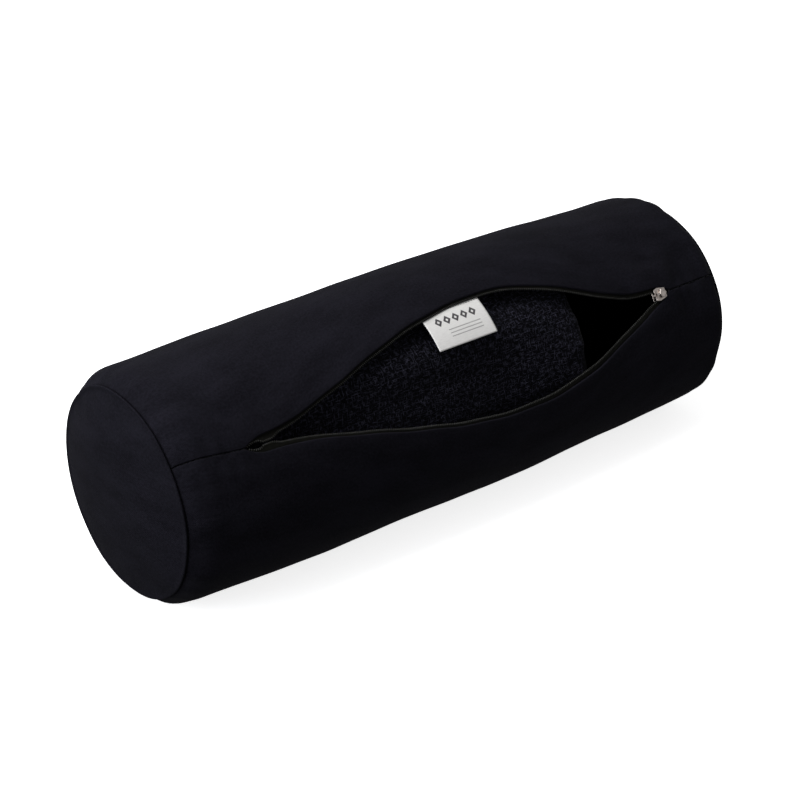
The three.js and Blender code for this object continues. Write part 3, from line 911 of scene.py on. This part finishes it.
# %% The label's shape
LABEL_X = 2 * MM
LABEL_WIDTH = 44 * MM
LABEL_HEIGHT = 26 * MM


def label_point(x, down):
    """Down is 0 where it is sewn in and 1 at its free edge."""
    upper = LIPS["upper"]
    distance = coil_place(upper, LABEL_X - 15 * MM) + 2.9 * MM - down * LABEL_HEIGHT
    curl = 0.25 * MM * math.sin((x - LABEL_X) * 70) * down + 0.6 * MM * down**2
    return roll_point(x, zip_angle(upper, x, distance), cover_radius(x) - 3.4 * MM - curl)


# %% The label's woven pattern
LOZENGE_STEP, LOZENGES, LOZENGE_ROW = 6.4 * MM, 5, -8.2 * MM
LOZENGE_HALF_WIDTH, LOZENGE_HALF_HEIGHT = 2.7 * MM, 3.2 * MM
BAR_STEP, BARS, BAR_ROW, BAR_MIDDLE, BAR_HALF = 2.3 * MM, 3, -17.2 * MM, 3 * MM, 12 * MM


def near(tree, value, middle, reach):
    """1 where a value lies within reach of a middle, else 0."""
    off = math_node(tree, "ABSOLUTE", math_node(tree, "SUBTRACT", value, middle))
    return math_node(tree, "LESS_THAN", off, reach)


def repeated(tree, value, step):
    return math_node(tree, "WRAP", value, step / 2, -step / 2)


def lozenges(tree, along, up):
    """A row of outlined lozenges, each the places whose two distances add up alike."""
    sideways = math_node(tree, "ABSOLUTE", repeated(tree, along, LOZENGE_STEP))
    upwards = math_node(tree, "ABSOLUTE", math_node(tree, "SUBTRACT", up, LOZENGE_ROW))
    upwards = math_node(tree, "DIVIDE", upwards, LOZENGE_HALF_HEIGHT)
    distance = math_node(tree, "MULTIPLY_ADD", sideways, 1 / LOZENGE_HALF_WIDTH, upwards)
    in_row = near(tree, along, 0, LOZENGES * LOZENGE_STEP / 2)
    return math_node(tree, "MULTIPLY", near(tree, distance, 0.68, 0.32), in_row)


def bars(tree, along, up):
    row = math_node(tree, "SUBTRACT", up, BAR_ROW)
    thin = near(tree, repeated(tree, row, BAR_STEP), 0, 0.32 * MM)
    short = near(tree, along, BAR_MIDDLE, BAR_HALF)
    few = near(tree, row, 0, BARS * BAR_STEP / 2)
    return math_node(tree, "MULTIPLY", math_node(tree, "MULTIPLY", thin, short), few)


def label_material():
    material, tree, shader = new_material("white_satin_label", Roughness=0.55, Sheen_Weight=0.15)
    place = on_cloth(tree)
    x, up, _ = add(tree, "SeparateXYZ", {0: place}).outputs
    along = math_node(tree, "SUBTRACT", x, LABEL_X)
    soft_bars = math_node(tree, "MULTIPLY", bars(tree, along, up), 0.55)
    ink = math_node(tree, "MAXIMUM", lozenges(tree, along, up), soft_bars)
    weave = use_group(tree, PLAIN_WEAVE, place, Threads=2200)["Height"]
    yarn = cloud(tree, stretched(tree, place, (300, 2500, 1)), 1, 2)
    white = two_tones(tree, yarn, 0.3, 0.7, (0.7, 0.69, 0.675), (0.8, 0.79, 0.775))
    tones = blend(tree, ink, white, (0.045, 0.04, 0.045, 1))
    raised = math_node(tree, "MULTIPLY_ADD", weave, 0.4, ink)
    join(tree, shader, Base_Color=tones, Normal=bump(tree, raised, 0.1 * MM))
    return material


# %% The label in place
label_columns = spread(LABEL_X - LABEL_WIDTH / 2, LABEL_X + LABEL_WIDTH / 2, 44)
label_rows = spread(1, 0, 26)
label_grid = cloth_grid(label_columns, label_rows, label_point, lambda down: -down * LABEL_HEIGHT)
label = new_piece("label_cloth", label_grid, "cover", label_material())
thicken(label, 0.3 * MM)
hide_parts("label")
label_edge = [
    label_point(x, 0.05) + radial(label_point(x, 0)) * 0.2 * MM for x in label_columns[1::2]
]
label_stitch = stitch(1.6 * MM, 0.35 * MM, 0.25 * MM)
sew("label_stitches", [label_edge], "cover", "label_stitching", label_stitch)

# %% [markdown]
# ## The slider and its pull
#
# The slider is two shaped plates joined by a wedge, which parts the coils, with side walls that
# press them together. On top are a bridge, which holds the pull's pin, and a six-sided cap over the
# locking spring. Each is a flat outline raised to its height, with every edge rounded by a bevel,
# because small cast parts have no sharp edges and those edges are what catches the light.


# %% Raised plates
def raise_plate(bm, outline, low, high, rounding):
    points = [bm.verts.new((x * MM, y * MM, low * MM)) for x, y in outline]
    face = bm.faces.new(points)
    raised = bmesh.ops.extrude_face_region(bm, geom=[face])["geom"]
    top = [item for item in raised if isinstance(item, bmesh.types.BMVert)]
    bmesh.ops.translate(bm, verts=top, vec=(0, 0, (high - low) * MM))
    edges = {edge for vert in points + top for edge in vert.link_edges}
    edges = [edge for edge in edges if edge.calc_length() > rounding * 2.1 * MM]
    settings = {"affect": "EDGES", "segments": 2, "profile": 0.5, "material": -1}
    bmesh.ops.bevel(bm, geom=edges, offset=rounding * MM, clamp_overlap=True, **settings)


def block(bm, x, y, low, high, rounding=0.12):
    (x0, x1), (y0, y1) = x, y
    raise_plate(bm, [(x0, y0), (x1, y0), (x1, y1), (x0, y1)], low, high, rounding)


def pin_bar(bm, radius, length, place):
    """A round bar across the slider."""
    size = {"radius1": radius * MM, "radius2": radius * MM, "depth": length * MM}
    made = bmesh.ops.create_cone(bm, cap_ends=True, segments=14, **size)["verts"]
    bmesh.ops.rotate(bm, verts=made, matrix=Matrix.Rotation(math.pi / 2, 3, "X"))
    bmesh.ops.translate(bm, verts=made, vec=Vector(place) * MM)


def slider_piece(name, bm, body, finish, slot, replaced):
    bmesh.ops.recalc_face_normals(bm, faces=bm.faces)
    bmesh.ops.transform(bm, matrix=SLIDER_PLACE, verts=bm.verts)
    piece = new_piece(name, bm, body, finish)
    for face in piece.data.polygons:
        face.use_smooth = False
    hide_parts(replaced)


# %% The slider's body, in millimetres from its middle
TAIL, NOSE, PLATE_IN, PLATE_OUT = 4.6, -4.6, 0.95, 1.75
half_outline = [(NOSE, 3.5), (-1.5, 4.2), (TAIL, 2.9)]
BODY_OUTLINE = [(x, -y) for x, y in half_outline] + half_outline[::-1]
BRIDGE_LENGTH, BRIDGE_WIDTH, BRIDGE_FEET = (-4.1, -2.3), (-0.8, 0.8), 1.6
body = bmesh.new()
raise_plate(body, BODY_OUTLINE, PLATE_IN, PLATE_OUT, 0.22)
raise_plate(body, BODY_OUTLINE, -PLATE_OUT, -PLATE_IN, 0.22)
raise_plate(body, [(NOSE, 0), (-3, -1.1), (-1.4, 0), (-3, 1.1)], -1.3, 1.3, 0.1)
for side in (-1, 1):
    wall, post = sorted((side * 2.2, side * 2.9)), sorted((side * 0.35, side * 0.8))
    block(body, (0, TAIL), wall, 0.6, 1.1)
    block(body, (0, TAIL), wall, -1.1, -0.6)
    block(body, BRIDGE_LENGTH, post, BRIDGE_FEET, 2.3)
block(body, BRIDGE_LENGTH, BRIDGE_WIDTH, 2.95, 3.45, 0.15)
for x in ((-4.1, -3.55), (-2.85, -2.3)):
    block(body, x, BRIDGE_WIDTH, BRIDGE_FEET, 3.2)
slider_piece("slider_body_metal", body, "slider", slider_finish, "slider_metal", "slider_body")


# %% The cap and its spring
CAP_X = 1.3


def hexagon(length, width):
    x, y = length / 2, width / 2
    corners = ((x, 0), (x / 2, y), (-x / 2, y), (-x, 0), (-x / 2, -y), (x / 2, -y))
    return [(CAP_X + along, across) for along, across in corners]


cap = bmesh.new()
raise_plate(cap, hexagon(5.6, 5.4), 2.35, 3.15, 0.45)
raise_plate(cap, hexagon(4.7, 4.5), 2.05, 2.5, 0.08)
slider_piece("slider_cap_metal", cap, "slider", slider_finish, "slider_metal", "slider_cap")

leaf = bmesh.new()
block(leaf, (-0.3, 2.9), (-0.7, 0.7), 1.78, 2.0, 0.05)
spring_names = "spring_steel", "slider_lock_spring"
slider_piece("slider_lock_spring_leaf", leaf, "slider", spring_finish, *spring_names)

# %% The pull: a pin, two arms, their joining bar, a stem and a grip
PULL_RADIUS, GRIP_HALF = 0.28, 0.3
pull = bmesh.new()
pin = PIN_HEIGHT / MM
low, high = pin - PULL_RADIUS, pin + PULL_RADIUS
pin_bar(pull, PULL_RADIUS, 3.4, (BRIDGE_X / MM, 0, pin))
for side in (-1, 1):
    block(pull, (-5.6, -2.95), sorted((side * 1.1, side * 1.7)), low, high)
block(pull, (-5.8, -5.2), (-1.7, 1.7), low, high)
block(pull, (-7.6, -5.5), (-0.5, 0.5), low, high)
block(pull, (-8.1, -7.4), (-1.8, 1.8), pin - GRIP_HALF, pin + GRIP_HALF, 0.2)
slider_piece("slider_pull_metal", pull, "pull", slider_finish, "slider_metal", "slider_pull")
print("the slider and its pull are made of 4 pieces")

# %% [markdown]
# ## The insert
#
# The insert is a plain stuffed casing, and a stuffed casing takes its shape from the pressure
# inside it. That is slow to fake by hand, so this cell starts from a slightly smaller roll, lets a
# short cloth simulation swell it, and then limits how far any point may go, to keep it clear of the
# cover and of the slider's path. The seams are pinched in afterwards.

# %% The casing before it swells
insert_low, insert_high = map(Vector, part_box("insert_tube"))
INSERT_HALF = (insert_high.x - insert_low.x) / 2
INSERT_MIDDLE = (insert_high.x + insert_low.x) / 2
INSERT_RADIUS = (insert_high.y - insert_low.y) / 2
INSERT_CLEARANCE = 0.3 * MM
INSERT_TAPER = 2 * MM
INSERT_ROUNDED = 0.045  # the part of half its length over which its end rounds in
INSERT_ROUNDING = 6.5 * MM
END_DOME = 2 * MM
BEFORE_SWELLING = 4 * MM  # how much smaller the casing starts
VOXEL = 5 * MM
SWELL_FRAMES = 20
MOST_SWELL = 5 * MM


def insert_limit(x):
    """The largest radius that keeps the insert clear of its neighbours at x."""
    part = min(1.0, abs(x - INSERT_MIDDLE) / INSERT_HALF)
    into_end = max(0.0, (part - 1 + INSERT_ROUNDED) / INSERT_ROUNDED)
    narrower = INSERT_TAPER * part**2 + INSERT_ROUNDING * into_end**2.2
    return INSERT_RADIUS - INSERT_CLEARANCE - narrower


def casing_start():
    """A closed roll, spun from its profile."""
    body_ends = (INSERT_MIDDLE + INSERT_HALF * part for part in spread(-0.98, 0.98, 48))
    body = [(x, insert_limit(x) - BEFORE_SWELLING) for x in body_ends]
    rim = body[-1][1]
    face = [
        (INSERT_HALF + END_DOME * (1 - part**2), rim * part) for part in spread(0.9, 0, 10)
    ]
    right = [(INSERT_MIDDLE + x, radius) for x, radius in face]
    left = [(INSERT_MIDDLE - x, radius) for x, radius in reversed(face)]
    bm = spun(left + body + right, AXIS_HEIGHT, 72)
    bmesh.ops.recalc_face_normals(bm, faces=bm.faces)
    return bm


# %% Swelling it
def applied(piece):
    """Replaces a piece's mesh by what its modifiers make of it."""
    bpy.context.view_layer.update()
    evaluated = piece.evaluated_get(bpy.context.evaluated_depsgraph_get())
    made = bpy.data.meshes.new_from_object(evaluated)
    piece.modifiers.clear()
    piece.data = made


def swell(piece):
    before = [vert.co.copy() for vert in piece.data.vertices]
    cloth = piece.modifiers.new("swell", "CLOTH").settings
    cloth.use_pressure = True
    cloth.uniform_pressure_force = 4
    cloth.effector_weights.gravity = 0
    for frame_number in range(1, SWELL_FRAMES + 1):
        bpy.context.scene.frame_set(frame_number)
    applied(piece)
    for vert, start in zip(piece.data.vertices, before):
        move = vert.co - start
        if move.length > MOST_SWELL:
            vert.co = start + move * (MOST_SWELL / move.length)


casing = in_scene("casing", mesh_from("casing", casing_start()))
remesh = casing.modifiers.new("even", "REMESH")
remesh.mode, remesh.voxel_size = "VOXEL", VOXEL
applied(casing)
swell(casing)
finer = casing.modifiers.new("finer", "SUBSURF")
finer.levels = finer.render_levels = 1
applied(casing)
print("casing:", len(casing.data.vertices), "points")


# %% Wrinkles, seams and clearances
def pinch(distance, width, depth):
    return depth * math.exp(-((distance / width) ** 2))


SEAM_INSET = 3 * MM  # from the insert's ends to its end seams
SEAM_PLANES = {end: INSERT_MIDDLE + side * (INSERT_HALF - SEAM_INSET) for end, side in ENDS.items()}
END_CORE = 40 * MM  # the middle of each end stays as the filling pressed it
FRONT_HOLLOW = 11 * MM


def soft_folds(along, offset):
    lump = noise.noise(Vector((along * 22, offset.y * 26, offset.z * 26)))
    crease = noise.noise(Vector((along * 9, offset.y * 48, offset.z * 48)))
    return 0.9 * MM * lump - 4.4 * MM * crease**2


def seam_folds(along, angle, radius):
    """Gathers beside each end seam, and the grooves of the end seams and the long seam."""
    from_seam = abs(along) - INSERT_HALF + SEAM_INSET
    gather = ripple(angle * 22, Vector((angle * 5, math.copysign(3, along), 2)))
    from_long = abs(math.remainder(angle - ZIP_ANGLE - math.pi, 2 * math.pi)) * radius
    grooves = pinch(from_seam, 2.6 * MM, 1.7 * MM) + pinch(from_long, 2.5 * MM, 1.3 * MM)
    return pinch(from_seam + 6 * MM, 9 * MM, 0.8 * MM) * gather - grooves


def front_hollow(along, angle):
    """The insert sinks away from the open zip, and less and less towards its right end."""
    above_zip = math.remainder(angle - ZIP_ANGLE, 2 * math.pi)
    sunk = smoothstep(0.3, -0.2, above_zip) * smoothstep(-1.6, -0.6, above_zip)
    return FRONT_HOLLOW * sunk * smoothstep(INSERT_HALF + 5 * MM, INSERT_HALF - 80 * MM, along)


def shape_casing(bm):
    for vert in bm.verts:
        offset = vert.co - Vector((0, 0, AXIS_HEIGHT))
        radius, angle = math.hypot(offset.y, offset.z), math.atan2(offset.z, -offset.y)
        along = vert.co.x - INSERT_MIDDLE
        if radius < END_CORE:
            continue
        new_radius = radius + soft_folds(along, offset) + seam_folds(along, angle, radius)
        new_radius -= front_hollow(along, angle)
        if abs(along) < INSERT_HALF - 0.5 * MM:
            new_radius = min(new_radius, insert_limit(vert.co.x))
        vert.co = roll_point(vert.co.x, angle, new_radius, 1.6 * MM)


casing_shape = bmesh.new()
casing_shape.from_mesh(casing.data)
shape_casing(casing_shape)
for plane in SEAM_PLANES.values():
    whole = casing_shape.verts[:] + casing_shape.edges[:] + casing_shape.faces[:]
    bmesh.ops.bisect_plane(casing_shape, geom=whole, plane_co=(plane, 0, 0), plane_no=(1, 0, 0))
casing_shape.to_mesh(casing.data)
casing_shape.free()


# %% The casing as three panels
def cloth_map(bm):
    """A UV map in metres. Round the tube it is the distance round, and on an end it is flat."""
    uv = bm.loops.layers.uv.new("cloth")
    for face in bm.faces:
        middle = face.calc_center_median()
        turn = math.atan2(middle.z - AXIS_HEIGHT, -middle.y)
        for loop in face.loops:
            place = loop.vert.co
            if abs(face.normal.x) > 0.75:
                loop[uv].uv = (place.y, place.z)
                continue
            angle = math.atan2(place.z - AXIS_HEIGHT, -place.y)
            near = turn + math.remainder(angle - turn, 2 * math.pi)
            loop[uv].uv = (place.x, near * INSERT_RADIUS)


def casing_panel(name, keep, replaced):
    bm = bmesh.new()
    bm.from_mesh(casing.data)
    gone = [face for face in bm.faces if not keep(face.calc_center_median().x)]
    bmesh.ops.delete(bm, geom=gone, context="FACES")
    cloth_map(bm)
    panel = new_piece(name, bm, "insert", insert_finish)
    thicken(panel, 0.6 * MM)
    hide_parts(replaced)
    print(name, len(panel.data.polygons), "faces")


left_plane, right_plane = SEAM_PLANES["left"], SEAM_PLANES["right"]
casing_panel("insert_tube_casing", lambda x: left_plane < x < right_plane, "insert_tube")
casing_panel("insert_end_casing_left", lambda x: x < left_plane, "insert_end_left")
casing_panel("insert_end_casing_right", lambda x: x > right_plane, "insert_end_right")

# %% The casing's seams
casing_points = [vert.co.copy() for vert in casing.data.vertices]
for end, plane in SEAM_PLANES.items():
    rim = [point for point in casing_points if abs(point.x - plane) < 0.01 * MM]
    rim = [(math.atan2(p.z - AXIS_HEIGHT, -p.y), p) for p in rim]
    rim.sort(key=lambda pair: pair[0])
    line = [point - radial(point) * 0.1 * MM for _, point in rim]
    sew(f"insert_end_stitches_{end}", [line], "insert", f"insert_end_seam_{end}")

long_line = steps_between(left_plane + 8 * MM, right_plane - 8 * MM)
long_line = [roll_point(x, ZIP_ANGLE + math.pi, insert_limit(x) - 3.2 * MM) for x in long_line]
sew("insert_long_stitches", [long_line], "insert", "insert_long_seam")
bpy.data.objects.remove(casing)

# %% [markdown]
# ## The filling
#
# Loose polyester fibre fills the casing. It never shows from outside, but the piece is there, so it
# gets the lumpy shape of packed fibre rather than a plain roll.

# %% The fibre block
FIBRE_HALF, FIBRE_RADIUS, FIBRE_LUMP = INSERT_HALF - 10 * MM, 46 * MM, 2 * MM


def fibre_profile():
    for turn in spread(math.pi, 0, 40):
        out = FIBRE_RADIUS * max(0.0, math.sin(turn) - 1e-9) ** 0.45
        yield INSERT_MIDDLE + FIBRE_HALF * math.cos(turn), -out


filling = spun(fibre_profile(), AXIS_HEIGHT, 64)
bmesh.ops.recalc_face_normals(filling, faces=filling.faces)
for vert in filling.verts:
    lump = noise.noise(vert.co * 38) + 0.5 * noise.noise(vert.co * 90)
    vert.co += radial(vert.co) * lump * FIBRE_LUMP
fibre = new_piece("insert_filling_fibre", filling, "insert", filling_finish)
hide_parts("insert_filling")

# %% [markdown]
# ## The studio
#
# Dark cloth on a white table needs light that is wide and soft, so that folds show without hard
# edges. A large panel hangs over the roll, one on the left opens up the near end disc, and a pale
# sky fills the rest. The floor is hidden from indirect light, so the roll's underside stays dark.

# %% The floor
floor_glow = {"Emission_Color": (1, 1, 1, 1), "Emission_Strength": 0.8}
floor_finish, floor_tree, floor_shader = new_material("pale_floor", Roughness=0.9, **floor_glow)
floor_tone = cloud(floor_tree, on_object(floor_tree), 3)
pale = two_tones(floor_tree, floor_tone, 0.3, 0.7, (0.93, 0.93, 0.935), (0.95, 0.95, 0.955))
join(floor_tree, floor_shader, Base_Color=pale)

floor_grid = bmesh.new()
bmesh.ops.create_grid(floor_grid, x_segments=4, y_segments=4, size=6)
floor = in_scene("studio_floor", mesh_from("studio_floor", floor_grid))
floor.data.materials.append(floor_finish)
floor.visible_diffuse = floor.visible_glossy = False


# %% The lights
def panel_light(name, place, aim, size, power, colour=(1, 1, 1)):
    data = bpy.data.lights.new(name, "AREA")
    data.shape, data.size, data.energy, data.color = "SQUARE", size, power, colour
    light = in_scene(name, data)
    light.location = place
    light.rotation_euler = (Vector(aim) - Vector(place)).to_track_quat("-Z", "Y").to_euler()


panel_light("overhead_panel", (-0.45, 0.12, 0.95), (-0.05, 0, 0), 0.7, 9)
panel_light("left_panel", (-1.5, 0.1, 0.6), (-0.1, 0, 0.06), 0.9, 14, (0.92, 0.95, 1))

# %% The sky: white to the camera, and a soft gradient to everything else
AMBIENT, EXTRA_SHINE = 0.31, 0.15
world = bpy.data.worlds.new("studio")
bpy.context.scene.world = world
world.use_nodes = True
sky = world.node_tree
height = add(sky, "SeparateXYZ", {0: add(sky, "TexCoord").outputs["Generated"]}).outputs[2]
upward = math_node(sky, "MULTIPLY_ADD", height, 0.5, 0.5)
gradient = two_tones(sky, upward, 0.3, 0.55, (0.4, 0.4, 0.4), (1, 1, 1))
rays = add(sky, "LightPath").outputs
seen, mirrored = rays["Is Camera Ray"], rays["Is Glossy Ray"]
ambient = math_node(sky, "MULTIPLY_ADD", mirrored, EXTRA_SHINE, AMBIENT)
brightness = math_node(sky, "MAXIMUM", seen, ambient)
sky_colour = blend(sky, seen, gradient, (1, 1, 1, 1))
join(sky, sky.nodes["Background"].inputs, Color=sky_colour, Strength=brightness)

bpy.context.scene.view_settings.view_transform = "Standard"
